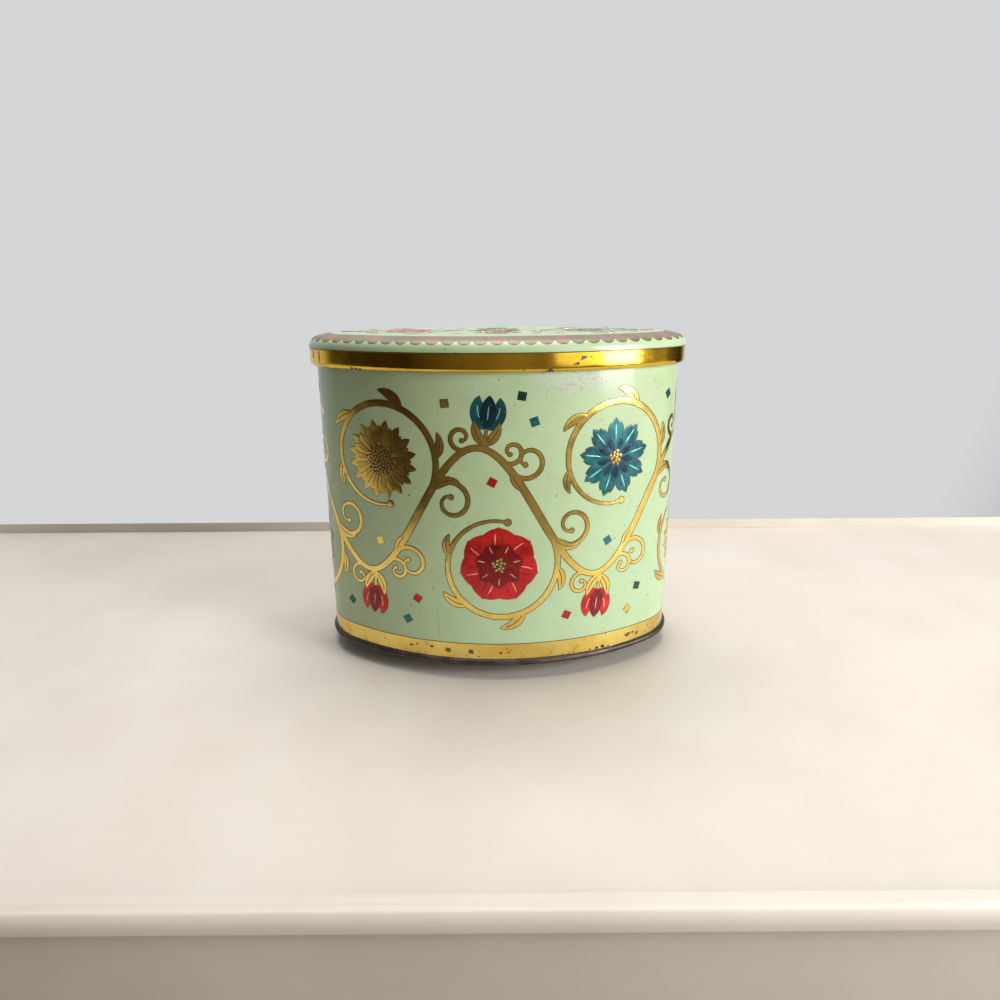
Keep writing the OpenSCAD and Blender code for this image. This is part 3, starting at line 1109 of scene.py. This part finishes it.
def add_camera():
    """The photograph's view: a wide lens a little above the lid, tipped down."""
    camera = bpy.data.objects.new("camera", bpy.data.cameras.new("camera"))
    camera.data.sensor_width = CAMERA_SENSOR
    camera.data.lens = CAMERA_LENS
    camera.data.clip_start = 0.01
    tilt = Matrix.Rotation(QUARTER - CAMERA_PITCH, 4, "X") @ Matrix.Rotation(CAMERA_ROLL, 4, "Z")
    camera.matrix_world = Matrix.Translation([c * MM for c in CAMERA_PLACE]) @ tilt
    bpy.context.scene.collection.objects.link(camera)
    bpy.context.scene.camera = camera


def add_floor():
    """A plain pale table top with rounded edges."""
    turns = np.linspace(0, QUARTER, 7)[::-1]
    rings = [(TABLE_ROUND * (1 - math.sin(t)), -TABLE_ROUND * (1 - math.cos(t))) for t in turns]
    rings.append((0, -TABLE_DEEP))
    points = []
    for inset, z in rings:
        x0, y0 = (low + inset for low in TABLE_LOW)
        x1, y1 = (high - inset for high in TABLE_HIGH)
        points += [(x0, y0, z), (x1, y0, z), (x1, y1, z), (x0, y1, z)]
    faces = [(0, 1, 2, 3)]
    for a in range(0, len(points) - 4, 4):
        faces += [(a + j, a + 4 + j, a + 4 + k, a + k) for j, k in ((0, 1), (1, 2), (2, 3), (3, 0))]
    look = Look("pale_floor")
    look.base(60, 5.0, 0.3, 0.7, (199, 192, 183), (205, 199, 191))
    look.bump(3, 4.0, 0.05, 0.4)
    add_mesh("floor", points, faces, [look.finish(0.6)])


def add_area(name, place, aim, size, power, tint):
    """A soft light that faces a point."""
    light = bpy.data.lights.new(name, "AREA")
    light.shape = "RECTANGLE"
    light.size, light.size_y = size
    light.energy = power
    light.color = tint
    lamp = bpy.data.objects.new(name, light)
    lamp.location = place
    lamp.rotation_euler = (lamp.location - Vector(aim)).to_track_quat("Z", "Y").to_euler()
    bpy.context.scene.collection.objects.link(lamp)


def add_light():
    """A window-like light at the right, a dim pale panel beside it, and a soft light above."""
    add_area("window", (0.768, -0.456, 0.29), (0, 0, 0.07), (0.31, 0.6), 10.2, (1.0, 0.98, 0.94))
    add_area("reveal", (0.55, -0.704, 0.29), (0, 0, 0.07), (0.38, 0.6), 1.25, (1.0, 0.97, 0.88))
    add_area("overhead", (0.0, 0.1, 1.0), (0, 0, 0), (0.7, 0.7), 10.0, (1.0, 0.985, 0.96))
    bpy.context.scene.view_settings.view_transform = "Standard"


def room_part(nodes, direction, low, high, dim, bright):
    """A colour that goes from dim to bright as a ray turns towards a direction."""
    ray = nodes.add("TexCoord").outputs["Generated"]
    turn = nodes.join("VectorMath", "DOT_PRODUCT", ray, direction)["Value"]
    return nodes.mix(nodes.ramp(turn, low, high), dim + (1,), bright + (1,))


def add_room():
    """A room with a pale wall behind the tin, dim in front, with a glow beside the window."""
    world = bpy.data.worlds.new("room")
    bpy.context.scene.world = world
    world.use_nodes = True
    nodes = Nodes(world.node_tree)
    wall = room_part(nodes, (-0.38, 0.91, 0.1), 0.25, 0.53, (0.036, 0.024, 0.013), (0.66, 0.67, 0.68))
    glow = room_part(nodes, (0.62, -0.78, 0.0), 0.1, 0.95, (0.0, 0.0, 0.0), (0.22, 0.187, 0.14))
    both = nodes.join("VectorMath", "ADD", wall, glow)["Vector"]
    nodes.feed(nodes.tree.nodes["Background"].inputs["Color"], both)


looks = make_looks()
for build in (body_wall, wall_seam, base_panel, foot_band, lid_panel, lid_band, lid_shade_line):
    build(looks)
wall_design().build(looks, "tin")
lid_border().build(looks, "lid")
lid_design().build(looks, "lid")
wear_dice = np.random.default_rng(WEAR_SEED)
band_wear(wear_dice).build(looks, "lid")
foot_wear(wear_dice).build(looks, "tin")
add_camera()
add_floor()
add_light()
add_room()
